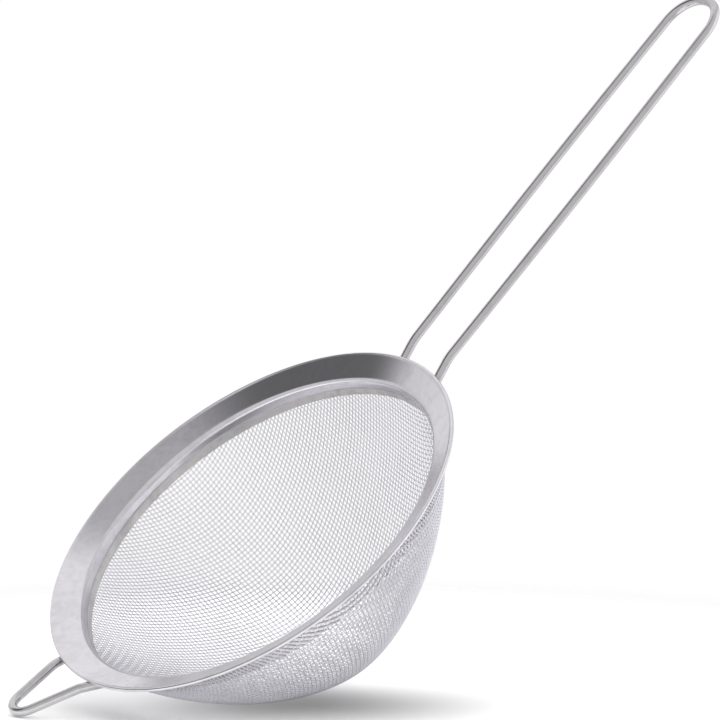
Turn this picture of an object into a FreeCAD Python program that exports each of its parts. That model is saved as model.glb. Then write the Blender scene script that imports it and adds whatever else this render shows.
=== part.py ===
"""Wire-handled sieve strainer: a pressed rim, a woven wire bowl, a looped handle and a rest ear.

Frame: +Z up out of the mouth, +X along the handle, origin at the centre of the mouth,
half way up the weld track at the foot of the skirt. Millimetres.
"""
import FreeCAD, Part
import math
import os
import Sketcher
from FreeCAD import Placement, Rotation, Vector

UP = Vector(0, 0, 1)
V_AXIS = -2                      # the sketch's own vertical axis, in constraints
SAME = 0.01                      # two lengths nearer than this are the same edge's

SIZES = {
    # rim, a pressed sheet ring with a rolled edge
    "rim_radius": 79.6,          # axis to the outside of the rolled edge
    "rim_height": 9.5,           # centre of the mouth up to the middle of the sheet at the edge
    "edge_roll_radius": 0.6,     # of the bead, turned under and flush with the flange's top
    "sheet_thickness": 0.6,
    "flange_width": 10.3,        # outside of the rolled edge to the inner face of the skirt
    "flange_drop": 4.4,          # rolled edge down to the crease
    "crease_radius": 1.8,
    "skirt_foot": 1.5,           # centre of the mouth down to the foot of the skirt
    # wire cloth round the skirt, as a thin shell of the cloth's own thickness
    "cloth_thickness": 0.7,
    "cloth_top": 3.0,            # centre of the mouth up to the cut edge of the cloth
    "bowl_depth": 62.7,          # centre of the mouth down to the outside of the bottom
    "bottom_radius": 37.0,
    "side_radius": 145.0,
    # bent wire of the handle and of the ear
    "wire_diameter": 3.2,
    "root_gap": 0.05,            # wire to rolled edge
    "root_clearance": 1.6,       # cloth to the axis of a leg at its cut end
    "handle_reach": 162.4,       # outside of the rim to the outside of the loop
    "handle_spacing": 24.6,      # between the axes of the legs at both ends
    "handle_bulge": 1.1,         # each leg, outwards, half way along
    "bulge_share": 0.45,         # of half a leg's length, taken by the bulge's curve
    "handle_bend": 6.9,          # outside of the rim to the bend
    "handle_bend_radius": 19.2,
    "handle_slope": 11.9,        # degrees above level beyond the bend
    "loop_radius": 11.8,
    "ear_reach": 24.3,           # outside of the rim to the outside of the tip
    "ear_spacing": 25.2,         # between the axes of the legs under the rolled edge
    "ear_bend": 2.4,
    "ear_bend_radius": 8.0,
    "ear_slope": 10.5,
    "ear_tip_radius": 6.1,
    # weld nugget between a leg and the flange
    "weld_length": 5.4,
    "weld_width": 3.6,
    "weld_bite": 0.28,           # into the sheet and over the wire
    "weld_inset": 3.6,           # rolled edge back to the middle of the nugget
}

doc = FreeCAD.newDocument("sieve_strainer")
sheet = doc.addObject("Spreadsheet::Sheet", "Sizes")
for row, (name, value) in enumerate(SIZES.items(), start=1):
    sheet.set(f"A{row}", name)
    sheet.set(f"B{row}", str(value))
    sheet.setAlias(f"B{row}", name)
doc.recompute()


def size(name):
    """A driving dimension as it stands in the sheet."""
    return float(sheet.get(name))


def new_body(name):
    body = doc.addObject("PartDesign::Body", name)
    body.Label = name
    return body


def origin_item(body, role):
    return next(item for item in body.Origin.OriginFeatures if item.Role == role)


def new_sketch(body, name):
    """A sketch on the body's XZ plane: its x is the radius and its y is the height."""
    sketch = body.newObject("Sketcher::SketchObject", name)
    sketch.AttachmentSupport = [(origin_item(body, "XZ_Plane"), "")]
    sketch.MapMode = "FlatFace"
    return sketch


def point_at(x, y):
    return Vector(x, y, 0)


def closed_outline(sketch, corners):
    """Straight edges through the corners, joined end to end."""
    count = len(corners)
    for i in range(count):
        here, there = corners[i], corners[(i + 1) % count]
        sketch.addGeometry(Part.LineSegment(point_at(*here), point_at(*there)))
    for i in range(count):
        sketch.addConstraint(Sketcher.Constraint("Coincident", i, 2, (i + 1) % count, 1))


def pin_point(sketch, geometry, end, x, y):
    """Ties one point of the sketch to formulas for its distance from the two axes."""
    for kind, (formula, start) in (("DistanceX", x), ("DistanceY", y)):
        index = sketch.addConstraint(Sketcher.Constraint(kind, -1, 1, geometry, end, start))
        sketch.setExpression(f"Constraints[{index}]", formula)


def revolve(body, sketch, name):
    feature = body.newObject("PartDesign::Revolution", name)
    feature.Profile = sketch
    feature.ReferenceAxis = (sketch, ["V_Axis"])
    feature.Angle = 360
    body.Tip = feature
    return feature


def circle_edges(shape, radius, height):
    """Names of the round edges of this radius at this height."""
    found = []
    for number, edge in enumerate(shape.Edges, start=1):
        curve = edge.Curve
        if isinstance(curve, Part.Circle) and abs(curve.Radius - radius) < SAME:
            if abs(curve.Center.z - height) < SAME:
                found.append(f"Edge{number}")
    return found


def fillet(body, base, name, edges, radius_formula):
    feature = body.newObject("PartDesign::Fillet", name)
    feature.Base = (base, edges)
    feature.setExpression("Radius", radius_formula)
    body.Tip = feature
    return feature


# Formulas shared by several pieces, all from the sheet
SKIRT_INNER = "Sizes.rim_radius - Sizes.flange_width"
SKIRT_OUTER = SKIRT_INNER + " + Sizes.sheet_thickness"
ROLL_CENTRE = "Sizes.rim_radius - Sizes.edge_roll_radius"
CREASE_HEIGHT = "Sizes.rim_height - Sizes.flange_drop"
CLOTH_OUTER = SKIRT_OUTER + " + Sizes.cloth_thickness"
ROLL_HEIGHT = "Sizes.rim_height + Sizes.sheet_thickness / 2 - Sizes.edge_roll_radius"
FOOT_HEIGHT = "-Sizes.skirt_foot"

skirt_inner = size("rim_radius") - size("flange_width")
skirt_outer = skirt_inner + size("sheet_thickness")
roll_centre = size("rim_radius") - size("edge_roll_radius")
crease_height = size("rim_height") - size("flange_drop")
cloth_outer = skirt_outer + size("cloth_thickness")
roll_height = size("rim_height") + size("sheet_thickness") / 2 - size("edge_roll_radius")
foot_height = -size("skirt_foot")
flange_angle = math.atan2(size("flange_drop"), roll_centre - skirt_inner)
wire_radius = size("wire_diameter") / 2
root_inset = roll_centre - cloth_outer - size("root_clearance")


def rim_ring():
    """Sloping flange, crease and straight skirt of one sheet, with a solid bead turned under."""
    body = new_body("rim_ring")
    sketch = new_sketch(body, "RimSection")
    half = size("sheet_thickness") / 2
    corners = [
        (skirt_inner, foot_height),
        (skirt_outer, foot_height),
        (skirt_outer, crease_height - half),
        (roll_centre, size("rim_height") - half),
        (roll_centre, size("rim_height") + half),
        (skirt_inner, crease_height + half),
    ]
    closed_outline(sketch, corners)
    foot = (FOOT_HEIGHT, foot_height)
    under_crease = (CREASE_HEIGHT + " - Sizes.sheet_thickness / 2", crease_height - half)
    over_crease = (CREASE_HEIGHT + " + Sizes.sheet_thickness / 2", crease_height + half)
    under_roll = ("Sizes.rim_height - Sizes.sheet_thickness / 2", size("rim_height") - half)
    over_roll = ("Sizes.rim_height + Sizes.sheet_thickness / 2", size("rim_height") + half)
    pin_point(sketch, 0, 1, (SKIRT_INNER, skirt_inner), foot)
    pin_point(sketch, 1, 1, (SKIRT_OUTER, skirt_outer), foot)
    pin_point(sketch, 2, 1, (SKIRT_OUTER, skirt_outer), under_crease)
    pin_point(sketch, 3, 1, (ROLL_CENTRE, roll_centre), under_roll)
    pin_point(sketch, 4, 1, (ROLL_CENTRE, roll_centre), over_roll)
    pin_point(sketch, 5, 1, (SKIRT_INNER, skirt_inner), over_crease)
    pressing = revolve(body, sketch, "RimPressing")
    doc.recompute()
    inside = circle_edges(pressing.Shape, skirt_inner, crease_height + half)
    bent = fillet(body, pressing, "CreaseInside", inside, "Sizes.crease_radius + Sizes.sheet_thickness")
    doc.recompute()
    outside = circle_edges(bent.Shape, skirt_outer, crease_height - half)
    fillet(body, bent, "CreaseOutside", outside, "Sizes.crease_radius")
    doc.recompute()
    roll = new_sketch(body, "RollSection")
    roll.addGeometry(Part.Circle(point_at(roll_centre, roll_height), UP, size("edge_roll_radius")))
    pin_point(roll, 0, 3, (ROLL_CENTRE, roll_centre), (ROLL_HEIGHT, roll_height))
    index = roll.addConstraint(Sketcher.Constraint("Radius", 0, size("edge_roll_radius")))
    roll.setExpression(f"Constraints[{index}]", "Sizes.edge_roll_radius")
    revolve(body, roll, "RolledEdge")
    return body


def bowl_arcs(start_radius, start_height):
    """Centres of the two tangent arcs of the bowl's outside: the bottom's, then the side's.

    The bottom's arc has its centre on the axis. The side's arc starts at the given point and
    touches the bottom's arc from outside, so the two centres are the difference of radii apart.
    """
    low = Vector(0, -size("bowl_depth") + size("bottom_radius"), 0)
    start = point_at(start_radius, start_height)
    apart = size("side_radius") - size("bottom_radius")
    span = start - low
    along = (size("side_radius") ** 2 - apart ** 2 + span.Length ** 2) / (2 * span.Length)
    aside = math.sqrt(size("side_radius") ** 2 - along ** 2)
    unit = span * (1 / span.Length)
    side = start - unit * along + Vector(-unit.y, unit.x, 0) * aside
    return low, side


def mesh_bowl():
    """Wire cloth bowl: an upright edge round the skirt, a long side arc and a round bottom."""
    body = new_body("mesh_bowl")
    sketch = new_sketch(body, "BowlSection")
    thick = size("cloth_thickness")
    cloth_top = size("cloth_top")
    low, side = bowl_arcs(cloth_outer, foot_height)
    join = math.atan2(low.y - side.y, low.x - side.x)

    def arc(centre, radius, first, last):
        return Part.ArcOfCircle(Part.Circle(centre, UP, radius), first, last)

    outer_start = math.atan2(foot_height - side.y, cloth_outer - side.x)
    inner_side = size("side_radius") - thick
    inner_start = math.asin((foot_height - side.y) / inner_side)
    inner_edge = side.x + inner_side * math.cos(inner_start)
    bottom_out = -size("bowl_depth")
    bottom_in = bottom_out + thick
    down = -math.pi / 2
    items = [
        Part.LineSegment(point_at(cloth_outer, cloth_top), point_at(cloth_outer, foot_height)),
        arc(side, size("side_radius"), join, outer_start),
        arc(low, size("bottom_radius"), down, join),
        Part.LineSegment(point_at(0, bottom_out), point_at(0, bottom_in)),
        arc(low, size("bottom_radius") - thick, down, join),
        arc(side, inner_side, join, inner_start),
        Part.LineSegment(point_at(inner_edge, foot_height), point_at(skirt_outer, foot_height)),
        Part.LineSegment(point_at(skirt_outer, foot_height), point_at(skirt_outer, cloth_top)),
        Part.LineSegment(point_at(skirt_outer, cloth_top), point_at(cloth_outer, cloth_top)),
    ]
    sketch.addGeometry(items)
    corners = [(0, 2, 1, 2), (2, 1, 3, 1), (3, 2, 4, 1), (5, 2, 6, 1), (6, 2, 7, 1), (7, 2, 8, 1), (8, 2, 0, 1)]
    smooth = [(1, 1, 2, 2), (4, 2, 5, 1)]
    centres = [(2, 3, 4, 3), (1, 3, 5, 3)]
    for kind, pairs in (("Coincident", corners + centres), ("Tangent", smooth)):
        for pair in pairs:
            sketch.addConstraint(Sketcher.Constraint(kind, *pair))
    sketch.addConstraint(Sketcher.Constraint("Horizontal", 6))
    for geometry, formula, start in (
        (1, "Sizes.side_radius", size("side_radius")),
        (2, "Sizes.bottom_radius", size("bottom_radius")),
        (4, "Sizes.bottom_radius - Sizes.cloth_thickness", size("bottom_radius") - thick),
    ):
        index = sketch.addConstraint(Sketcher.Constraint("Radius", geometry, start))
        sketch.setExpression(f"Constraints[{index}]", formula)
    edge_top = ("Sizes.cloth_top", cloth_top)
    edge_foot = (FOOT_HEIGHT, foot_height)
    pin_point(sketch, 0, 1, (CLOTH_OUTER, cloth_outer), edge_top)
    pin_point(sketch, 0, 2, (CLOTH_OUTER, cloth_outer), edge_foot)
    pin_point(sketch, 7, 1, (SKIRT_OUTER, skirt_outer), edge_foot)
    pin_point(sketch, 7, 2, (SKIRT_OUTER, skirt_outer), edge_top)
    for geometry, end in ((3, 1), (3, 2), (2, 3)):
        sketch.addConstraint(Sketcher.Constraint("PointOnObject", geometry, end, V_AXIS))
    index = sketch.addConstraint(Sketcher.Constraint("DistanceY", -1, 1, 3, 1, bottom_out))
    sketch.setExpression(f"Constraints[{index}]", "-Sizes.bowl_depth")
    revolve(body, sketch, "Cloth")
    return body


def rounded_path(points, radii):
    """Straight runs between the points, with a tangent arc of the given radius at each corner."""
    edges = []
    here = points[0]
    for corner, following, radius in zip(points[1:-1], points[2:], radii):
        back = (here - corner).normalize()
        ahead = (following - corner).normalize()
        half_turn = (math.pi - back.getAngle(ahead)) / 2
        cut = radius * math.tan(half_turn)
        bisector = (back + ahead).normalize()
        middle = corner + bisector * (radius / math.cos(half_turn) - radius)
        first, last = corner + back * cut, corner + ahead * cut
        edges.append(Part.LineSegment(here, first).toShape())
        edges.append(Part.Arc(first, middle, last).toShape())
        here = last
    edges.append(Part.LineSegment(here, points[-1]).toShape())
    return Part.Wire(edges)


def root_line(half_spacing):
    """Start of a leg and its rise under the flange: (x of the rolled edge, height there, slope)."""
    across = math.sqrt(roll_centre ** 2 - half_spacing ** 2)
    below = size("edge_roll_radius") + wire_radius + size("root_gap")
    return across, roll_height - below / math.cos(flange_angle), math.tan(flange_angle)


def bent_wire(name, path):
    """A round wire along the path, as a sweep of one circle."""
    spine = doc.addObject("Part::Feature", name + "_path")
    spine.Shape = path
    first = path.Edges[0]
    along = first.tangentAt(first.FirstParameter)
    section = doc.addObject("Part::Circle", name + "_section")
    section.setExpression("Radius", "Sizes.wire_diameter / 2")
    section.Placement = Placement(path.Vertexes[0].Point, Rotation(UP, along))
    sweep = doc.addObject("Part::Sweep", name)
    sweep.Label = name
    sweep.Sections = [section]
    sweep.Spine = (spine, [f"Edge{i}" for i in range(1, len(path.Edges) + 1)])
    sweep.Solid = True
    sweep.Frenet = False
    return sweep


def handle_wire():
    """Two long legs that leave under the flange, bend flatter and join in a round loop."""
    half = size("handle_spacing") / 2
    edge_x, edge_z, rise = root_line(half)
    start_x = edge_x - root_inset
    bend_x = size("rim_radius") + size("handle_bend")
    end_x = size("rim_radius") + size("handle_reach") - wire_radius
    middle_x = (bend_x + end_x) / 2
    slope = math.tan(math.radians(size("handle_slope")))
    bend_z = edge_z + (bend_x - edge_x) * rise

    def height(x):
        return bend_z + (x - bend_x) * slope

    leg = [
        Vector(start_x, half, edge_z - root_inset * rise),
        Vector(bend_x, half, bend_z),
        Vector(middle_x, half + size("handle_bulge"), height(middle_x)),
        Vector(end_x, half, height(end_x)),
    ]
    other = [Vector(p.x, -p.y, p.z) for p in reversed(leg)]
    bend_radius = size("handle_bend_radius")
    bulge_turn = math.atan(size("handle_bulge") / (middle_x - bend_x))
    bulge_radius = size("bulge_share") * (middle_x - bend_x) / math.tan(bulge_turn)
    loop = size("loop_radius")
    radii = [bend_radius, bulge_radius, loop, loop, bulge_radius, bend_radius]
    return bent_wire("handle_wire", rounded_path(leg + other, radii))


def rest_ear():
    """A short V of the same wire opposite the handle, which hooks over the edge of a vessel."""
    half = size("ear_spacing") / 2
    edge_x, edge_z, rise = root_line(half)
    start_x = edge_x - root_inset
    bend_x = size("rim_radius") + size("ear_bend")
    tip_x = size("rim_radius") + size("ear_reach") - wire_radius
    slope = math.tan(math.radians(size("ear_slope")))
    bend_z = edge_z + (bend_x - edge_x) * rise
    tip = size("ear_tip_radius")
    # The leg's axis passes (edge_x, half) and touches a circle of the tip's radius inside tip_x
    reach = tip_x - tip - edge_x
    swing = math.hypot(reach, half)
    lean = math.atan2(half, reach) - math.asin(tip / swing)
    apex_x = edge_x + half / math.tan(lean)

    def leg_y(x):
        return half - (x - edge_x) * math.tan(lean)

    leg = [
        Vector(-start_x, leg_y(start_x), edge_z - root_inset * rise),
        Vector(-bend_x, leg_y(bend_x), bend_z),
    ]
    apex = [Vector(-apex_x, 0, bend_z + (apex_x - bend_x) * slope)]
    other = [Vector(p.x, -p.y, p.z) for p in reversed(leg)]
    bend_radius = size("ear_bend_radius")
    return bent_wire("rest_ear", rounded_path(leg + apex + other, [bend_radius, tip, bend_radius]))


def weld(name, side, half_spacing, toward, rim, wire):
    """A nugget in the gap between a leg and the flange, cut to fit both.

    side is +1 or -1 along X, toward is +1 or -1 along Y.
    """
    edge_x, edge_z, rise = root_line(half_spacing)
    gap = 2 * size("edge_roll_radius") + size("root_gap") - size("sheet_thickness")
    middle_x = edge_x - size("weld_inset")
    above = (wire_radius + gap / 2) / math.cos(flange_angle)
    middle_z = edge_z - size("weld_inset") * rise + above
    lump = doc.addObject("Part::Ellipsoid", name + "_lump")
    lump.setExpression("Radius2", "Sizes.weld_length / 2")
    lump.setExpression("Radius3", "Sizes.weld_width / 2")
    lump.setExpression(
        "Radius1", "(2 * Sizes.edge_roll_radius + Sizes.root_gap - Sizes.sheet_thickness) / 2 + Sizes.weld_bite"
    )
    tilt = Rotation(Vector(0, 1, 0), -side * math.degrees(flange_angle))
    lump.Placement = Placement(Vector(side * middle_x, toward * half_spacing, middle_z), tilt)
    under_rim = doc.addObject("Part::Cut", name + "_under_rim")
    under_rim.Base = lump
    under_rim.Tool = rim
    nugget = doc.addObject("Part::Cut", name)
    nugget.Label = name
    nugget.Base = under_rim
    nugget.Tool = wire
    return nugget


rim = rim_ring()
handle = handle_wire()
ear = rest_ear()
parts = [rim, mesh_bowl(), handle, ear]
doc.recompute()
for owner, wire, side, half in (
    ("handle", handle, 1, size("handle_spacing") / 2),
    ("ear", ear, -1, size("ear_spacing") / 2),
):
    for hand, toward in (("left", 1), ("right", -1)):
        parts.append(weld(f"{owner}_weld_{hand}", side, half, toward, rim, wire))
doc.recompute()

for item in doc.Objects:
    bad = [state for state in item.State if state in ("Invalid", "Error")]
    if bad:
        raise RuntimeError(f"{item.Name} is {bad}")
for part in parts:
    shape = part.Shape
    if shape.isNull() or not shape.isValid() or len(shape.Solids) != 1:
        raise RuntimeError(f"{part.Label} is not one valid solid")

os.makedirs("parts", exist_ok=True)
for part in parts:
    part.Shape.exportStep(f"parts/{part.Label}.step")
    box = part.Shape.BoundBox
    print(f"{part.Label}: volume {part.Shape.Volume:.1f}, x {box.XMin:.1f} {box.XMax:.1f},"
          f" y {box.YMin:.1f} {box.YMax:.1f}, z {box.ZMin:.1f} {box.ZMax:.1f}")
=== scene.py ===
import math

import bpy
import numpy as np
from bpy.props import FloatProperty, FloatVectorProperty, IntProperty, PointerProperty
from mathutils import Matrix, Vector


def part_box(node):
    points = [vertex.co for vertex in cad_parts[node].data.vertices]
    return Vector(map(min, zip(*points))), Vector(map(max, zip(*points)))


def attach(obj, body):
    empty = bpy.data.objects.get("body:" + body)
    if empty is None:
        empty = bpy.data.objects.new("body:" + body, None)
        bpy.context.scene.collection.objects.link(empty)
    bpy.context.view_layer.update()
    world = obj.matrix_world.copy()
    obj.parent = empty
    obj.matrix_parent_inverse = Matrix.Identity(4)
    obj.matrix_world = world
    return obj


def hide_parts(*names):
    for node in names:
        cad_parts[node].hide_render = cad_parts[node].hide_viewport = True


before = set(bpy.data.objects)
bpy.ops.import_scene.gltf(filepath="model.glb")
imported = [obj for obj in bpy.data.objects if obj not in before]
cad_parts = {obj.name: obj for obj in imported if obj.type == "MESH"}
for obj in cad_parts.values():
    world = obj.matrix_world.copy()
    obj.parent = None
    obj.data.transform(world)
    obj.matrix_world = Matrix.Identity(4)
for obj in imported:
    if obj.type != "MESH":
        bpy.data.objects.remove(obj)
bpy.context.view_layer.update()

bl_info = {
    "name": "Wire-handled sieve strainer",
    "version": (1, 0, 0),
    "blender": (4, 5, 0),
    "location": "3D View > Sidebar > Strainer",
    "description": "Builds the strainer's rim, woven bowl, wires, welds and its studio",
    "category": "Object",
}

RIM_LOW, RIM_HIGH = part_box("rim_ring")
BOWL_LOW, BOWL_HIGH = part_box("mesh_bowl")
RANDOM_SEED = 16
SPARE_CLOTH = 1.2                # cloth woven past its cut edge, as a share of the upright edge


# ---------------------------------------------------------------- settings

def length(name, description, default):
    return FloatProperty(
        name=name, description=description, default=default, min=0.0,
        precision=5, unit="LENGTH", subtype="DISTANCE",
    )


def share(name, description, default):
    return FloatProperty(
        name=name, description=description, default=default, min=0.0, max=1.0, subtype="FACTOR"
    )


def colour(name, description, default):
    return FloatVectorProperty(
        name=name, description=description, default=default, size=3,
        min=0.0, max=1.0, subtype="COLOR",
    )


class StrainerRimSettings(bpy.types.PropertyGroup):
    """Pressed rim, with the weld track at the foot of its skirt."""

    curl_radius: length("Curl radius", "Half the thickness of the rolled edge", 0.0006)
    sheet_thickness: length("Sheet thickness", "Thickness of the pressed sheet", 0.0006)
    flange_width: length("Flange width", "Rolled edge to the skirt's inner face", 0.0103)
    flange_drop: length("Flange drop", "Rolled edge down to the crease", 0.0044)
    crease_radius: length("Crease radius", "Outside radius of the bend into the skirt", 0.0018)
    waviness: length("Waviness", "How far the pressed flange wanders at its edge", 0.00005)
    segments: IntProperty(name="Segments", description="Faces round the rim", default=480, min=96)
    steel: colour("Rim steel", "Colour of the polished sheet", (0.74, 0.73, 0.755))
    roughness: share("Rim roughness", "Roughness of the polished sheet", 0.13)
    track_top: length("Track top", "Mouth centre up to the top of the weld track", 0.0015)
    track_depth: length("Track depth", "How deep the weld wheel pressed its track", 0.00008)
    track_steel: colour("Track steel", "Colour of the matt weld track", (0.76, 0.745, 0.72))
    track_roughness: share("Track roughness", "Roughness of the weld track", 0.44)


class StrainerClothSettings(bpy.types.PropertyGroup):
    """Plain woven wire cloth, draped into the bowl."""

    pitch: length("Pitch", "Centre to centre of two wires, 16 to the inch", 0.0015875)
    wire_diameter: length("Wire diameter", "Thickness of one wire of the cloth", 0.00035)
    bottom_radius: length("Bottom radius", "Radius of the bowl's round bottom", 0.037)
    side_radius: length("Side radius", "Radius of the bowl's long side arc", 0.145)
    skirt_foot: length("Skirt foot", "Mouth centre down to where the cloth leaves the skirt", 0.0015)
    steps: IntProperty(name="Steps", description="Straight runs in one pitch", default=4, min=2)
    sides: IntProperty(name="Sides", description="Faces round one wire, an even number", default=6, min=4)
    fray: length("Fray", "How unevenly the wires' ends were cut round the skirt", 0.0003)
    steel: colour("Cloth steel", "Colour of the bright drawn wire", (0.74, 0.73, 0.775))
    roughness: share("Cloth roughness", "Roughness of the drawn wire", 0.3)


class StrainerWireSettings(bpy.types.PropertyGroup):
    """Handle, rest ear and the welds that hold them."""

    steel: colour("Wire steel", "Colour of the polished wire", (0.60, 0.59, 0.60))
    roughness: share("Wire roughness", "Roughness of the polished wire", 0.17)
    weld_steel: colour("Weld steel", "Colour of the cleaned weld", (0.42, 0.40, 0.39))
    weld_tint: colour("Weld tint", "Straw colour that the heat left", (0.34, 0.26, 0.18))


class StrainerStageSettings(bpy.types.PropertyGroup):
    """Camera, floor with its painted shadow under the bowl, and studio light."""

    target: FloatVectorProperty(
        name="Camera target", description="Point in the middle of the view",
        default=(0.0633, 0.0010, 0.0253), size=3, subtype="XYZ",
    )
    distance: length("Camera distance", "Camera to its target", 0.9600)
    azimuth: FloatProperty(
        name="Azimuth", description="Camera round the mouth's axis",
        default=math.radians(-103.86), subtype="ANGLE",
    )
    elevation: FloatProperty(
        name="Elevation", description="Camera above the mouth's plane",
        default=math.radians(29.34), subtype="ANGLE",
    )
    roll: FloatProperty(
        name="Roll", description="Camera about its own line of sight, clockwise",
        default=math.radians(34.29), subtype="ANGLE",
    )
    lens: FloatProperty(name="Lens", description="Focal length in mm", default=140.0, min=1.0)
    floor_tilt: FloatProperty(
        name="Floor tilt", description="How far the camera looks down on the floor",
        default=math.radians(3.0), subtype="ANGLE",
    )
    floor_depth: length("Floor depth", "Mouth centre down to the floor", 0.0577)
    floor_radius: length("Floor radius", "Radius of the round floor", 0.34)
    floor_colour: colour("Floor", "Colour of the plain floor", (0.93, 0.93, 0.93))
    # Painted shadow: a dark patch laid into the floor's colour under the bowl, not cast by any lamp; its
    # middle, its reach and its darkest brightness
    painted_shade_place: FloatVectorProperty(
        name="Shade place", description="Middle of the soft shade under the bowl, on the floor",
        default=(0.0200, -0.0100, 0.0), size=3, subtype="XYZ",
    )
    painted_shade_spread: FloatVectorProperty(
        name="Shade spread", description="How far the shade reaches to the side and to the back",
        default=(0.0850, 0.0550, 1.0), size=3, subtype="XYZ",
    )
    painted_shade_depth: share("Shade depth", "Brightness of the floor in the middle of the shade", 0.40)
    backdrop: colour("Backdrop", "Colour behind everything", (1.0, 1.0, 1.0))
    dome_strength: FloatProperty(
        name="Dome strength", description="Soft light that falls on the floor", default=1.5, min=0.0
    )


# ---------------------------------------------------------------- meshes

def mesh_object(name, points, faces, smooth=True):
    """A mesh piece from an array of points and an array or list of faces."""
    mesh = bpy.data.meshes.new(name)
    mesh.from_pydata([tuple(p) for p in points], [], faces)
    mesh.polygons.foreach_set("use_smooth", [smooth] * len(mesh.polygons))
    mesh.update()
    piece = bpy.data.objects.new(name, mesh)
    bpy.context.scene.collection.objects.link(piece)
    return piece


def quad_mesh_object(name, points, quads):
    """A large mesh piece of quads only, set straight from arrays."""
    mesh = bpy.data.meshes.new(name)
    mesh.vertices.add(len(points))
    mesh.vertices.foreach_set("co", points.astype(np.float32).ravel())
    mesh.loops.add(quads.size)
    mesh.loops.foreach_set("vertex_index", quads.astype(np.int32).ravel())
    mesh.polygons.add(len(quads))
    mesh.polygons.foreach_set("loop_start", np.arange(0, quads.size, 4, dtype=np.int32))
    mesh.polygons.foreach_set("use_smooth", np.ones(len(quads), bool))
    mesh.update(calc_edges=True)
    if mesh.validate():
        raise RuntimeError(f"{name} has faulty faces")
    piece = bpy.data.objects.new(name, mesh)
    bpy.context.scene.collection.objects.link(piece)
    return piece


def arc(centre, radius, start, end, count):
    """Points of an arc in the (radius, height) plane, angles in degrees."""
    angles = np.radians(np.linspace(start, end, count))
    return [(centre[0] + radius * math.cos(a), centre[1] + radius * math.sin(a)) for a in angles]


def straight(start, end, count):
    """Points strictly between two ends."""
    steps = np.linspace(0.0, 1.0, count + 2)[1:-1]
    return [(start[0] + (end[0] - start[0]) * t, start[1] + (end[1] - start[1]) * t) for t in steps]


def bend(corner, before, after, radius, count):
    """The arc that rounds a corner between two straight runs."""
    corner, before, after = (Vector(p) for p in (corner, before, after))
    back, ahead = (before - corner).normalized(), (after - corner).normalized()
    half_turn = (math.pi - back.angle(ahead)) / 2
    cut = radius * math.tan(half_turn)
    centre = corner + (back + ahead).normalized() * (radius / math.cos(half_turn))
    first, last = corner + back * cut - centre, corner + ahead * cut - centre
    start = math.atan2(first.y, first.x)
    turn = math.atan2(first.x * last.y - first.y * last.x, first.dot(last))
    return arc(centre, radius, math.degrees(start), math.degrees(start + turn), count)


def rim_profile(s):
    """Closed outline of the rim's section, as (radius, height), anticlockwise from the foot."""
    outer, top, foot = RIM_HIGH.x, RIM_HIGH.z, RIM_LOW.z
    half = s.sheet_thickness / 2
    curl = Vector((outer - s.curl_radius, top - s.curl_radius))
    edge_height = top - half
    inside = outer - s.flange_width
    outside = inside + s.sheet_thickness
    crease = edge_height - s.flange_drop
    upper = (Vector((inside, crease + half)), Vector((curl.x, edge_height + half)))
    lower = (Vector((outside, crease - half)), Vector((curl.x, edge_height - half)))

    def meets_curl(line):
        """Where a face of the flange runs into the rolled edge, coming from the skirt."""
        along = (line[1] - line[0]).normalized()
        offset = line[0] - curl
        middle = -offset.dot(along)
        apart = s.curl_radius ** 2 - (offset + along * middle).length_squared
        return line[0] + along * (middle - math.sqrt(apart))

    over, under = meets_curl(upper), meets_curl(lower)
    first = math.degrees(math.atan2(over.y - curl.y, over.x - curl.x))
    last = math.degrees(math.atan2(under.y - curl.y, under.x - curl.x))
    lip = s.sheet_thickness / 4
    track = inside + s.track_depth
    inner_bend = bend(upper[0], (inside, foot), upper[1], s.crease_radius + s.sheet_thickness, 14)
    outer_bend = bend(lower[0], lower[1], (outside, foot), s.crease_radius, 14)
    points = bend((track, foot), (outside, foot), (track, top), lip, 4)
    points += straight(points[-1], (track, s.track_top), 4)
    points += [(track, s.track_top), (inside, s.track_top + s.track_depth)]
    points += straight(points[-1], inner_bend[0], 2)
    points += inner_bend
    points += straight(inner_bend[-1], over, 8)
    points += arc(curl, s.curl_radius, first % 360, last % 360 - 360, 30)
    points += straight(under, outer_bend[0], 6)
    points += outer_bend
    points += straight(outer_bend[-1], (outside, foot), 3)
    points += bend((outside, foot), (outside, top), (track, foot), lip, 4)
    return np.array(points)


def lathe(name, profile, segments, wander=None):
    """Turns a closed outline about the axis of the mouth. wander moves it up or down by angle."""
    angles = np.linspace(0.0, 2 * np.pi, segments, endpoint=False)
    count = len(profile)
    radius, height = profile[:, 0], profile[:, 1]
    points = np.zeros((segments, count, 3))
    points[:, :, 0] = np.cos(angles)[:, None] * radius
    points[:, :, 1] = np.sin(angles)[:, None] * radius
    points[:, :, 2] = height
    if wander is not None:
        points[:, :, 2] += wander(angles[:, None], radius[None, :])
    ring, step = np.meshgrid(np.arange(segments), np.arange(count), indexing="ij")
    after, onward = (ring + 1) % segments, (step + 1) % count
    quads = np.stack(
        [ring * count + step, after * count + step, after * count + onward, ring * count + onward], -1
    )
    return quad_mesh_object(name, points.reshape(-1, 3), quads.reshape(-1, 4))


# ---------------------------------------------------------------- wire cloth

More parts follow.
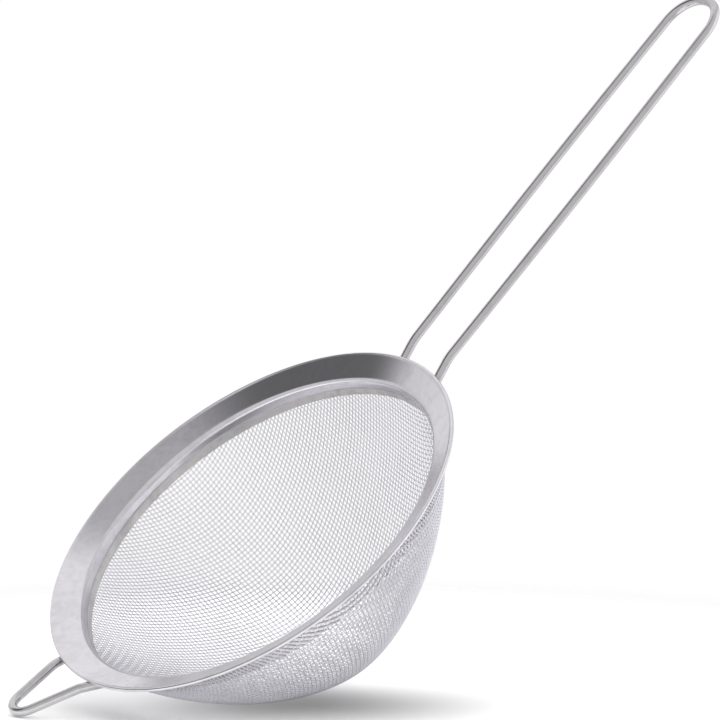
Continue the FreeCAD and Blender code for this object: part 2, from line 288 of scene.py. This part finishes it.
class ClothSurface:
    """Middle of the cloth: a round bottom, a long side arc, and an upright edge round the skirt."""

    def __init__(self, s):
        half = s.wire_diameter
        self.edge_radius = BOWL_HIGH.x - half
        self.edge_top = BOWL_HIGH.z
        low = Vector((0.0, BOWL_LOW.z + s.bottom_radius))
        start = Vector((BOWL_HIGH.x, -s.skirt_foot))
        span = start - low
        apart = s.side_radius - s.bottom_radius
        along = (s.side_radius ** 2 - apart ** 2 + span.length_squared) / (2 * span.length)
        aside = math.sqrt(s.side_radius ** 2 - along ** 2)
        unit = span.normalized()
        self.side = start - unit * along + Vector((-unit.y, unit.x)) * aside
        self.low = low
        self.bottom_radius = s.bottom_radius - half
        self.side_radius = s.side_radius - half
        self.join = self.bottom_radius * math.cos(math.atan2(low.y - self.side.y, -self.side.x))
        self.foot = float(self.height(self.edge_radius))
        steepness = math.sqrt(1 + float(self.rise(self.edge_radius)) ** 2)
        self.reach = self.edge_radius + SPARE_CLOTH * (self.edge_top - self.foot) / steepness

    def height(self, radius):
        radius = np.asarray(radius, float)
        bottom = self.low.y - np.sqrt(np.maximum(self.bottom_radius ** 2 - radius ** 2, 0.0))
        side = self.side.y - np.sqrt(
            np.maximum(self.side_radius ** 2 - (radius - self.side.x) ** 2, 0.0)
        )
        return np.where(radius < self.join, bottom, side)

    def rise(self, radius):
        """Slope of the surface, outwards."""
        radius = np.asarray(radius, float)
        bottom = radius / np.sqrt(np.maximum(self.bottom_radius ** 2 - radius ** 2, 1e-9))
        side = (radius - self.side.x) / np.sqrt(
            np.maximum(self.side_radius ** 2 - (radius - self.side.x) ** 2, 1e-9)
        )
        return np.where(radius < self.join, bottom, side)

    def settle(self, plan):
        """Points of the cloth and its normals, with the edge turned up round the skirt."""
        radius = np.maximum(np.hypot(plan[:, 0], plan[:, 1]), 1e-9)
        outward = plan / radius[:, None]
        height, rise = self.height(radius), self.rise(radius)
        size = np.sqrt(1 + rise ** 2)
        over = radius > self.edge_radius
        climb = self.foot + (radius - self.edge_radius) * size
        height = np.where(over, climb, height)
        radius = np.where(over, self.edge_radius, radius)
        points = np.column_stack([outward * radius[:, None], height])
        inward, upward = np.where(over, 1.0, rise / size), np.where(over, 0.0, 1 / size)
        return points, np.column_stack([-outward * inward[:, None], upward])


def meet(surface, first, second, guess, pitch):
    """Plan position of the crossing one pitch from both of its neighbours."""
    x, y = guess
    for _ in range(8):
        radius = math.hypot(x, y)
        z, rise = float(surface.height(radius)), float(surface.rise(radius))
        slope_x, slope_y = rise * x / radius, rise * y / radius
        rows, misses = [], []
        for end in (first, second):
            dx, dy, dz = x - end[0], y - end[1], z - end[2]
            misses.append(dx * dx + dy * dy + dz * dz - pitch * pitch)
            rows.append((2 * (dx + dz * slope_x), 2 * (dy + dz * slope_y)))
        (a, b), (c, d) = rows
        turn = a * d - b * c
        x -= (misses[0] * d - misses[1] * b) / turn
        y -= (misses[1] * a - misses[0] * c) / turn
    return x, y, float(surface.height(math.hypot(x, y)))


def drape(surface, pitch, reach):
    """Crossings of a quarter of the cloth, {(i, j): (x, y, z)}, each a pitch from the next.

    The cloth shears and doesn't stretch, as woven wire does when it is pressed into a bowl.
    """
    axis = [0.0]
    while axis[-1] < reach:
        rise = float(surface.rise(axis[-1]))
        step = pitch / math.sqrt(1 + rise ** 2)
        for _ in range(3):
            run = float(surface.height(axis[-1] + step) - surface.height(axis[-1]))
            step *= pitch / math.hypot(step, run)
        axis.append(axis[-1] + step)
    crossings = {}
    for i, x in enumerate(axis):
        z = float(surface.height(x))
        crossings[i, 0] = (x, 0.0, z)
        crossings[0, i] = (0.0, x, z)
    for i in range(1, len(axis)):
        for j in range(1, len(axis)):
            corners = [crossings.get(key) for key in ((i - 1, j), (i, j - 1), (i - 1, j - 1))]
            if None in corners:
                break
            first, second, behind = corners
            if min(math.hypot(*first[:2]), math.hypot(*second[:2])) > reach:
                break
            guess = (first[0] + second[0] - behind[0], first[1] + second[1] - behind[1])
            crossings[i, j] = meet(surface, first, second, guess, pitch)
    return crossings


def wire_plan(crossings, line, reach):
    """Plan of one wire that runs along X, from edge to edge, and the number of its first crossing."""
    run = []
    while (len(run), abs(line)) in crossings:
        x, y, _ = crossings[len(run), abs(line)]
        run.append((x, math.copysign(y, line)))
        if math.hypot(x, y) > reach:
            break
    if len(run) < 2:
        return None, 0
    while math.hypot(*run[-1]) < reach:
        run.append((2 * run[-1][0] - run[-2][0], 2 * run[-1][1] - run[-2][1]))
    mirrored = [(-x, y) for x, y in reversed(run[1:])]
    return np.array(mirrored + run), -(len(run) - 1)


def smooth_run(plan, steps):
    """A curve through the crossings, with this many points in each pitch."""
    padded = np.vstack([2 * plan[0] - plan[1], plan, 2 * plan[-1] - plan[-2]])
    before, here, there, beyond = padded[:-3], padded[1:-2], padded[2:-1], padded[3:]
    out = []
    for t in np.arange(steps) / steps:
        out.append(
            here + 0.5 * t * (
                there - before
                + t * (
                    2 * before - 5 * here + 4 * there - beyond
                    + t * (3 * (here - there) + beyond - before)
                )
            )
        )
    curve = np.stack(out, 1).reshape(-1, 2)
    return np.vstack([curve, plan[-1]])


def tube(points, normals, radius, sides):
    """Rings and quads of a wire along the points, with both of its cut ends closed."""
    along = np.gradient(points, axis=0)
    along /= np.linalg.norm(along, axis=1)[:, None]
    across = np.cross(along, normals)
    across /= np.linalg.norm(across, axis=1)[:, None]
    upward = np.cross(across, along)
    angles = 2 * np.pi * np.arange(sides) / sides
    rings = (
        points[:, None]
        + radius * np.cos(angles)[None, :, None] * upward[:, None]
        + radius * np.sin(angles)[None, :, None] * across[:, None]
    )
    ring, side = np.meshgrid(np.arange(len(points) - 1), np.arange(sides), indexing="ij")
    following = (side + 1) % sides
    quads = np.stack(
        [
            ring * sides + side, (ring + 1) * sides + side,
            (ring + 1) * sides + following, ring * sides + following,
        ],
        -1,
    ).reshape(-1, 4)
    cap = np.array([(0, k, k + 1, k + 2) for k in range(1, sides - 1, 2)])
    far_cap = cap[:, ::-1] + (len(points) - 1) * sides
    return rings.reshape(-1, 3), np.vstack([quads, cap, far_cap])


def weave(surface, s, crossings, flip, lines, rng):
    """Points and quads of the wires with these numbers. flip makes them run along Y."""
    all_points, all_quads, used = [], [], 0
    amplitude = s.wire_diameter / 2
    for line in lines:
        plan, first = wire_plan(crossings, line, surface.reach)
        if plan is None:
            continue
        plan = plan + rng.normal(0.0, s.wire_diameter * 0.04, plan.shape)
        run = smooth_run(plan, s.steps)
        points, normals = surface.settle(run)
        phase = np.pi * (np.arange(len(run)) / s.steps + first + line + flip)
        points = points + normals * (amplitude * np.cos(phase))[:, None]
        cuts = surface.edge_top - s.wire_diameter / 2 - rng.uniform(0.0, s.fray, 2)
        keep = points[:, 2] < np.where(np.arange(len(points)) < len(points) / 2, *cuts)
        points, normals = points[keep], normals[keep]
        if len(points) < 3:
            continue
        if flip:
            points, normals = points[:, [1, 0, 2]], normals[:, [1, 0, 2]]
        rings, quads = tube(points, normals, s.wire_diameter / 2, s.sides)
        if flip:
            quads = quads[:, ::-1]
        all_points.append(rings)
        all_quads.append(quads + used)
        used += len(rings)
    return np.vstack(all_points), np.vstack(all_quads)


# ---------------------------------------------------------------- materials

class Nodes:
    """Short way to add and link the nodes of one tree."""

    def __init__(self, tree):
        self.tree = tree
        tree.nodes.clear()

    def add(self, kind, inputs=(), **settings):
        node = self.tree.nodes.new(kind)
        for name, value in settings.items():
            setattr(node, name, value)
        for name, value in dict(inputs).items():
            self.feed(node.inputs[name], value)
        return node

    def feed(self, socket, value):
        if isinstance(value, bpy.types.NodeSocket):
            self.tree.links.new(value, socket)
        else:
            socket.default_value = value

    def maths(self, operation, *values):
        node = self.add("ShaderNodeMath", operation=operation)
        for socket, value in zip(node.inputs, values):
            self.feed(socket, value)
        return node.outputs[0]

    def ramp(self, value, low, high, to_low=0.0, to_high=1.0, smooth=False):
        """Maps a range of values on to another."""
        node = self.add(
            "ShaderNodeMapRange",
            {"Value": value, "From Min": low, "From Max": high, "To Min": to_low, "To Max": to_high},
            interpolation_type="SMOOTHSTEP" if smooth else "LINEAR",
        )
        return node.outputs["Result"]

    def blend(self, factor, first, second):
        node = self.add("ShaderNodeMix", data_type="RGBA", blend_type="MIX")
        self.feed(node.inputs["Factor"], factor)
        self.feed(node.inputs[6], first)
        self.feed(node.inputs[7], second)
        return node.outputs[2]


def new_group(name, inputs, outputs):
    """An empty shader node group with named sockets: (name, kind, default)."""
    tree = bpy.data.node_groups.new(name, "ShaderNodeTree")
    for label, kind, default in inputs:
        socket = tree.interface.new_socket(label, in_out="INPUT", socket_type=kind)
        socket.default_value = default
    for label, kind in outputs:
        tree.interface.new_socket(label, in_out="OUTPUT", socket_type=kind)
    return tree


def handling_marks_group():
    """Faint smears and cloudy patches that wiping and handling leave on bright steel."""
    name = "Handling marks"
    if name in bpy.data.node_groups:
        return bpy.data.node_groups[name]
    tree = new_group(
        name,
        [("Patch scale", "NodeSocketFloat", 60.0), ("Smear scale", "NodeSocketFloat", 260.0),
         ("Amount", "NodeSocketFloat", 1.0)],
        [("Mask", "NodeSocketFloat")],
    )
    n = Nodes(tree)
    given = n.add("NodeGroupInput")
    where = n.add("ShaderNodeTexCoord").outputs["Object"]
    patches = n.add(
        "ShaderNodeTexNoise", {"Vector": where, "Scale": given.outputs["Patch scale"], "Detail": 3.0}
    )
    smears = n.add(
        "ShaderNodeTexNoise",
        {"Vector": where, "Scale": given.outputs["Smear scale"], "Detail": 5.0, "Distortion": 0.8},
    )
    mix = n.maths("MULTIPLY", patches.outputs["Fac"], smears.outputs["Fac"])
    mask = n.ramp(mix, 0.14, 0.42, smooth=True)
    result = n.add("NodeGroupOutput")
    n.feed(result.inputs["Mask"], n.maths("MULTIPLY", mask, given.outputs["Amount"]))
    return tree


def turned_lines_group():
    """Fine lines round the axis of the mouth, from spinning and rolling the sheet."""
    name = "Turned lines"
    if name in bpy.data.node_groups:
        return bpy.data.node_groups[name]
    tree = new_group(
        name,
        [("Line scale", "NodeSocketFloat", 9000.0), ("Break scale", "NodeSocketFloat", 7.0)],
        [("Lines", "NodeSocketFloat")],
    )
    n = Nodes(tree)
    given = n.add("NodeGroupInput")
    where = n.add("ShaderNodeTexCoord").outputs["Object"]
    parts = n.add("ShaderNodeSeparateXYZ", {"Vector": where})
    x, y, z = parts.outputs
    radius = n.maths("SQRT", n.maths("ADD", n.maths("MULTIPLY", x, x), n.maths("MULTIPLY", y, y)))
    angle = n.maths("ARCTAN2", y, x)
    across = n.maths("MULTIPLY", n.maths("ADD", radius, z), given.outputs["Line scale"])
    along = n.maths("MULTIPLY", angle, given.outputs["Break scale"])
    stretched = n.add("ShaderNodeCombineXYZ", {"X": across, "Y": along, "Z": 0.0})
    noise = n.add(
        "ShaderNodeTexNoise",
        {"Vector": stretched.outputs[0], "Scale": 1.0, "Detail": 4.0, "Roughness": 0.6},
    )
    result = n.add("NodeGroupOutput")
    n.feed(result.inputs["Lines"], n.ramp(noise.outputs["Fac"], 0.3, 0.7))
    return tree


def drawn_lines_group():
    """Fine lines along the handle's direction, from drawing the wire through its die."""
    name = "Drawn lines"
    if name in bpy.data.node_groups:
        return bpy.data.node_groups[name]
    tree = new_group(
        name,
        [("Line scale", "NodeSocketFloat", 6000.0), ("Break scale", "NodeSocketFloat", 60.0)],
        [("Lines", "NodeSocketFloat")],
    )
    n = Nodes(tree)
    given = n.add("NodeGroupInput")
    where = n.add("ShaderNodeTexCoord").outputs["Object"]
    x, y, z = n.add("ShaderNodeSeparateXYZ", {"Vector": where}).outputs
    stretched = n.add(
        "ShaderNodeCombineXYZ",
        {
            "X": n.maths("MULTIPLY", x, given.outputs["Break scale"]),
            "Y": n.maths("MULTIPLY", y, given.outputs["Line scale"]),
            "Z": n.maths("MULTIPLY", z, given.outputs["Line scale"]),
        },
    )
    noise = n.add(
        "ShaderNodeTexNoise", {"Vector": stretched.outputs[0], "Scale": 1.0, "Detail": 3.0}
    )
    result = n.add("NodeGroupOutput")
    n.feed(result.inputs["Lines"], n.ramp(noise.outputs["Fac"], 0.3, 0.7))
    return tree


def place_group(n, tree, **values):
    node = n.add("ShaderNodeGroup")
    node.node_tree = tree
    for label, value in values.items():
        n.feed(node.inputs[label.replace("_", " ")], value)
    return node


def steel_material(name, steel, roughness, lines_tree, lines_depth, marks_amount, dark=0.82, **line_scales):
    """Metal with machining lines in its bump and handling marks in its colour and roughness."""
    material = bpy.data.materials.new(name)
    material.use_nodes = True
    n = Nodes(material.node_tree)
    lines = place_group(n, lines_tree, **line_scales).outputs["Lines"]
    marks = place_group(n, handling_marks_group(), Amount=marks_amount).outputs["Mask"]
    shade = tuple(c * dark for c in steel) + (1.0,)
    base = n.blend(marks, tuple(steel) + (1.0,), shade)
    smear = n.maths("ADD", n.maths("MULTIPLY", marks, 0.10), n.maths("MULTIPLY", lines, 0.05))
    rough = n.maths("ADD", smear, roughness - 0.04)
    bump = n.add("ShaderNodeBump", {"Height": lines, "Strength": 0.35, "Distance": lines_depth})
    shader = n.add(
        "ShaderNodeBsdfPrincipled",
        {"Base Color": base, "Metallic": 1.0, "Roughness": rough, "Normal": bump.outputs["Normal"]},
    )
    out = n.add("ShaderNodeOutputMaterial")
    n.feed(out.inputs["Surface"], shader.outputs["BSDF"])
    return material


def weld_material(s):
    """Cleaned weld: grainy grey metal with straw-coloured heat tint in patches."""
    material = bpy.data.materials.new("weld_steel")
    material.use_nodes = True
    n = Nodes(material.node_tree)
    where = n.add("ShaderNodeTexCoord").outputs["Object"]
    grain = n.add("ShaderNodeTexNoise", {"Vector": where, "Scale": 2600.0, "Detail": 4.0})
    tint = n.add("ShaderNodeTexNoise", {"Vector": where, "Scale": 700.0, "Detail": 2.0})
    base = n.blend(
        n.ramp(tint.outputs["Fac"], 0.45, 0.65, smooth=True),
        tuple(s.weld_steel) + (1.0,), tuple(s.weld_tint) + (1.0,),
    )
    rough = n.ramp(grain.outputs["Fac"], 0.3, 0.7, 0.32, 0.55)
    bump = n.add(
        "ShaderNodeBump", {"Height": grain.outputs["Fac"], "Strength": 0.6, "Distance": 0.00012}
    )
    shader = n.add(
        "ShaderNodeBsdfPrincipled",
        {"Base Color": base, "Metallic": 1.0, "Roughness": rough, "Normal": bump.outputs["Normal"]},
    )
    out = n.add("ShaderNodeOutputMaterial")
    n.feed(out.inputs["Surface"], shader.outputs["BSDF"])
    return material


def dress(piece, material):
    """Puts one material on every face of a piece."""
    if piece.data.materials:
        for slot in range(len(piece.data.materials)):
            piece.data.materials[slot] = material
    else:
        piece.data.materials.append(material)
    return piece


# ---------------------------------------------------------------- operators

class STRAINER_OT_rim(bpy.types.Operator):
    """Turn the pressed rim with its rolled edge and weld track"""

    bl_idname = "strainer.rim"
    bl_label = "Rim and weld track"

    def execute(self, context):
        s = context.scene.strainer_rim
        rng = np.random.default_rng(RANDOM_SEED)
        phases = rng.uniform(0.0, 2 * np.pi, 6)
        heights = rng.uniform(0.4, 1.0, 6)
        inner, outer = RIM_HIGH.x - s.flange_width, RIM_HIGH.x

        def wander(angle, radius):
            swell = sum(
                h * np.sin(k * angle + p) / k
                for k, h, p in zip((2, 3, 5, 8, 13, 21), heights, phases)
            )
            return s.waviness * swell * np.clip((radius - inner) / (outer - inner), 0.0, 1.0)

        rim = lathe("rim", rim_profile(s), s.segments, wander)
        dress(rim, steel_material(
            "rim_steel", s.steel, s.roughness, turned_lines_group(), 0.000008, 0.6,
        ))
        rim.data.materials.append(steel_material(
            "track_steel", s.track_steel, s.track_roughness, turned_lines_group(), 0.00004, 1.0,
            Line_scale=5000.0,
        ))
        wall = inner + s.track_depth + s.sheet_thickness / 4
        for face in rim.data.polygons:
            where = face.center
            if where.z < s.track_top and where.xy.length < wall:
                face.material_index = 1
        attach(rim, "root")
        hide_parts("rim_ring")
        return {"FINISHED"}


class STRAINER_OT_cloth(bpy.types.Operator):
    """Weave the wire cloth and drape it into the bowl"""

    bl_idname = "strainer.cloth"
    bl_label = "Woven bowl"

    def execute(self, context):
        s = context.scene.strainer_cloth
        surface = ClothSurface(s)
        crossings = drape(surface, s.pitch, surface.reach)
        last = max(j for _, j in crossings)
        bands = (
            ("side_b", range(-last, -last // 4)),
            ("middle", range(-last // 4, last // 4 + 1)),
            ("side_a", range(last // 4 + 1, last + 1)),
        )
        rng = np.random.default_rng(RANDOM_SEED)
        material = steel_material(
            "cloth_steel", s.steel, s.roughness, drawn_lines_group(), 0.00001, 0.5,
        )
        for flip, family in ((0, "warp"), (1, "weft")):
            for band, lines in bands:
                points, quads = weave(surface, s, crossings, flip, lines, rng)
                piece = quad_mesh_object(f"cloth_{family}_{band}", points, quads)
                dress(piece, material)
                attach(piece, "root")
                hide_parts("mesh_bowl")
        return {"FINISHED"}


class STRAINER_OT_wires(bpy.types.Operator):
    """Finish the wires of the handle and the rest ear"""

    bl_idname = "strainer.wires"
    bl_label = "Handle and ear"

    def execute(self, context):
        s = context.scene.strainer_wires
        material = steel_material(
            "wire_steel", s.steel, s.roughness, drawn_lines_group(), 0.00002, 0.6,
            Line_scale=4000.0,
        )
        for node in ("handle_wire", "rest_ear"):
            dress(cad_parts[node], material)
        return {"FINISHED"}


class STRAINER_OT_welds(bpy.types.Operator):
    """Finish the four welds under the flange"""

    bl_idname = "strainer.welds"
    bl_label = "Welds"

    def execute(self, context):
        material = weld_material(context.scene.strainer_wires)
        for node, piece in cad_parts.items():
            if "_weld_" in node:
                dress(piece, material)
        return {"FINISHED"}


def camera_axes(s):
    """Right, up and back of the camera, in the row frame."""
    back = Vector((
        math.cos(s.elevation) * math.cos(s.azimuth),
        math.cos(s.elevation) * math.sin(s.azimuth),
        math.sin(s.elevation),
    ))
    level = Vector((0, 0, 1)).cross(back).normalized()
    upright = back.cross(level)
    right = level * math.cos(s.roll) - upright * math.sin(s.roll)
    return right, back.cross(right), back


def floor_axes(s):
    """Right, up and back of the studio, which the strainer leans in."""
    right, up, back = camera_axes(s)
    tilt = s.floor_tilt
    return right, up * math.cos(tilt) + back * math.sin(tilt), back * math.cos(tilt) - up * math.sin(tilt)


def floor_material(s):
    """Matt floor, darkened towards black in a painted shadow under the bowl, that thins out to nothing at
    its edge and is clear from below.
    """
    material = bpy.data.materials.new("floor")
    material.use_nodes = True
    n = Nodes(material.node_tree)
    where = n.add("ShaderNodeTexCoord").outputs["Object"]
    away = n.add("ShaderNodeVectorMath", {0: where}, operation="LENGTH").outputs["Value"]
    fade = n.ramp(away, s.floor_radius * 0.55, s.floor_radius * 0.98, smooth=True)
    under = n.maths(
        "MULTIPLY",
        n.add("ShaderNodeNewGeometry").outputs["Backfacing"],
        n.add("ShaderNodeLightPath").outputs["Is Camera Ray"],
    )
    # Painted shadow: the floor's colour is blended towards black round the spot under the bowl, darkest in
    # its middle
    touch = n.add("ShaderNodeVectorMath", {0: where, 1: tuple(s.painted_shade_place)}, operation="SUBTRACT")
    spread = n.add(
        "ShaderNodeVectorMath", {0: touch.outputs["Vector"], 1: tuple(s.painted_shade_spread)}, operation="DIVIDE"
    )
    far = n.add("ShaderNodeVectorMath", {0: spread.outputs["Vector"]}, operation="LENGTH").outputs["Value"]
    shade = n.ramp(far, 0.0, 1.0, s.painted_shade_depth, 1.0, smooth=True)
    floor_tone_with_painted_shadow = n.blend(shade, (0.0, 0.0, 0.0, 1.0), tuple(s.floor_colour) + (1.0,))
    matt = n.add("ShaderNodeBsdfDiffuse", {"Color": floor_tone_with_painted_shadow})
    clear = n.add("ShaderNodeBsdfTransparent")
    mix = n.add("ShaderNodeMixShader", {0: n.maths("MAXIMUM", fade, under)})
    n.feed(mix.inputs[1], matt.outputs[0])
    n.feed(mix.inputs[2], clear.outputs[0])
    out = n.add("ShaderNodeOutputMaterial")
    n.feed(out.inputs["Surface"], mix.outputs[0])
    return material


# Soft boxes and flags of the studio: where they stand as (right, up, back),
# their inner and outer angle in degrees, and how bright they are
STUDIO_BOXES = (
    ((-0.22, 0.80, -0.55), 32.0, 44.0, 1.00),
    ((-0.42, 0.88, 0.22), 10.0, 26.0, 0.52),
    ((1.00, 0.10, -0.10), 24.0, 48.0, 1.30),
    ((-0.20, -0.97, 0.15), 30.0, 50.0, 1.80),
    ((-0.82, 0.55, 0.00), 13.0, 28.0, 0.15),
)
STUDIO_BASE = 0.76
STUDIO_TINT = (0.985, 0.975, 1.0)


def build_world(s):
    """White backdrop, a soft dome for the floor, and the studio that the steel reflects."""
    world = bpy.data.worlds.new("studio")
    world.use_nodes = True
    n = Nodes(world.node_tree)
    direction = n.add("ShaderNodeTexCoord").outputs["Generated"]
    right, up, back = floor_axes(s)
    level = STUDIO_BASE
    for place, inner, outer, bright in STUDIO_BOXES:
        centre = (right * place[0] + up * place[1] + back * place[2]).normalized()
        facing = n.add(
            "ShaderNodeVectorMath", {0: direction, 1: tuple(centre)}, operation="DOT_PRODUCT"
        ).outputs["Value"]
        inside = n.ramp(
            facing, math.cos(math.radians(outer)), math.cos(math.radians(inner)), smooth=True
        )
        here = n.maths("MULTIPLY", inside, bright)
        around = n.maths("MULTIPLY", n.maths("SUBTRACT", 1.0, inside), level)
        level = n.maths("ADD", here, around)
    path = n.add("ShaderNodeLightPath").outputs
    seen = n.add("ShaderNodeBackground", {"Color": tuple(s.backdrop) + (1.0,), "Strength": 1.0})
    dome = n.add("ShaderNodeBackground", {"Color": (1.0, 1.0, 1.0, 1.0), "Strength": s.dome_strength})
    studio = n.add("ShaderNodeBackground", {"Color": STUDIO_TINT + (1.0,), "Strength": level})
    lit = n.add("ShaderNodeMixShader", {0: path["Is Diffuse Ray"]})
    n.feed(lit.inputs[1], studio.outputs[0])
    n.feed(lit.inputs[2], dome.outputs[0])
    both = n.add("ShaderNodeMixShader", {0: path["Is Camera Ray"]})
    n.feed(both.inputs[1], lit.outputs[0])
    n.feed(both.inputs[2], seen.outputs[0])
    out = n.add("ShaderNodeOutputWorld")
    n.feed(out.inputs["Surface"], both.outputs[0])
    bpy.context.scene.world = world


class STRAINER_OT_stage(bpy.types.Operator):
    """Set the camera, the floor and the studio light"""

    bl_idname = "strainer.stage"
    bl_label = "Stage"

    def execute(self, context):
        s = context.scene.strainer_stage
        right, up, back = camera_axes(s)
        lens = bpy.data.cameras.new("camera")
        lens.lens = s.lens
        lens.sensor_width = 36.0
        lens.clip_end = 50.0
        camera = bpy.data.objects.new("camera", lens)
        place = Vector(s.target) + back * s.distance
        camera.matrix_world = Matrix.Translation(place) @ Matrix((right, up, back)).transposed().to_4x4()
        context.scene.collection.objects.link(camera)
        context.scene.camera = camera

        ring = [(math.cos(a), math.sin(a), 0.0) for a in np.linspace(0, 2 * np.pi, 97)[:-1]]
        floor = mesh_object("floor", [Vector(p) * s.floor_radius for p in ring], [list(range(96))])
        right, up, back = floor_axes(s)
        floor.matrix_world = (
            Matrix.Translation(-up * s.floor_depth)
            @ Matrix((right, -back, up)).transposed().to_4x4()
        )
        dress(floor, floor_material(s))
        build_world(s)
        context.scene.view_settings.view_transform = "Standard"
        return {"FINISHED"}


class STRAINER_PT_panel(bpy.types.Panel):
    """Lists the steps that build the strainer"""

    bl_idname = "STRAINER_PT_panel"
    bl_label = "Strainer"
    bl_space_type = "VIEW_3D"
    bl_region_type = "UI"
    bl_category = "Strainer"

    def draw(self, context):
        for step in STEPS:
            self.layout.operator(step.bl_idname)
        for group in SETTINGS:
            box = self.layout.box()
            for name in SETTINGS[group].__annotations__:
                box.prop(getattr(context.scene, group), name)


STEPS = (
    STRAINER_OT_stage,
    STRAINER_OT_rim,
    STRAINER_OT_cloth,
    STRAINER_OT_wires,
    STRAINER_OT_welds,
)
SETTINGS = {
    "strainer_rim": StrainerRimSettings,
    "strainer_cloth": StrainerClothSettings,
    "strainer_wires": StrainerWireSettings,
    "strainer_stage": StrainerStageSettings,
}


def register():
    for item in (*SETTINGS.values(), *STEPS, STRAINER_PT_panel):
        bpy.utils.register_class(item)
    for name, group in SETTINGS.items():
        setattr(bpy.types.Scene, name, PointerProperty(type=group))


def unregister():
    for name in SETTINGS:
        delattr(bpy.types.Scene, name)
    for item in reversed((*SETTINGS.values(), *STEPS, STRAINER_PT_panel)):
        bpy.utils.unregister_class(item)


def main():
    register()
    bpy.ops.strainer.stage()
    bpy.ops.strainer.rim()
    bpy.ops.strainer.cloth()
    bpy.ops.strainer.wires()
    bpy.ops.strainer.welds()


if __name__ == "__main__":
    main()
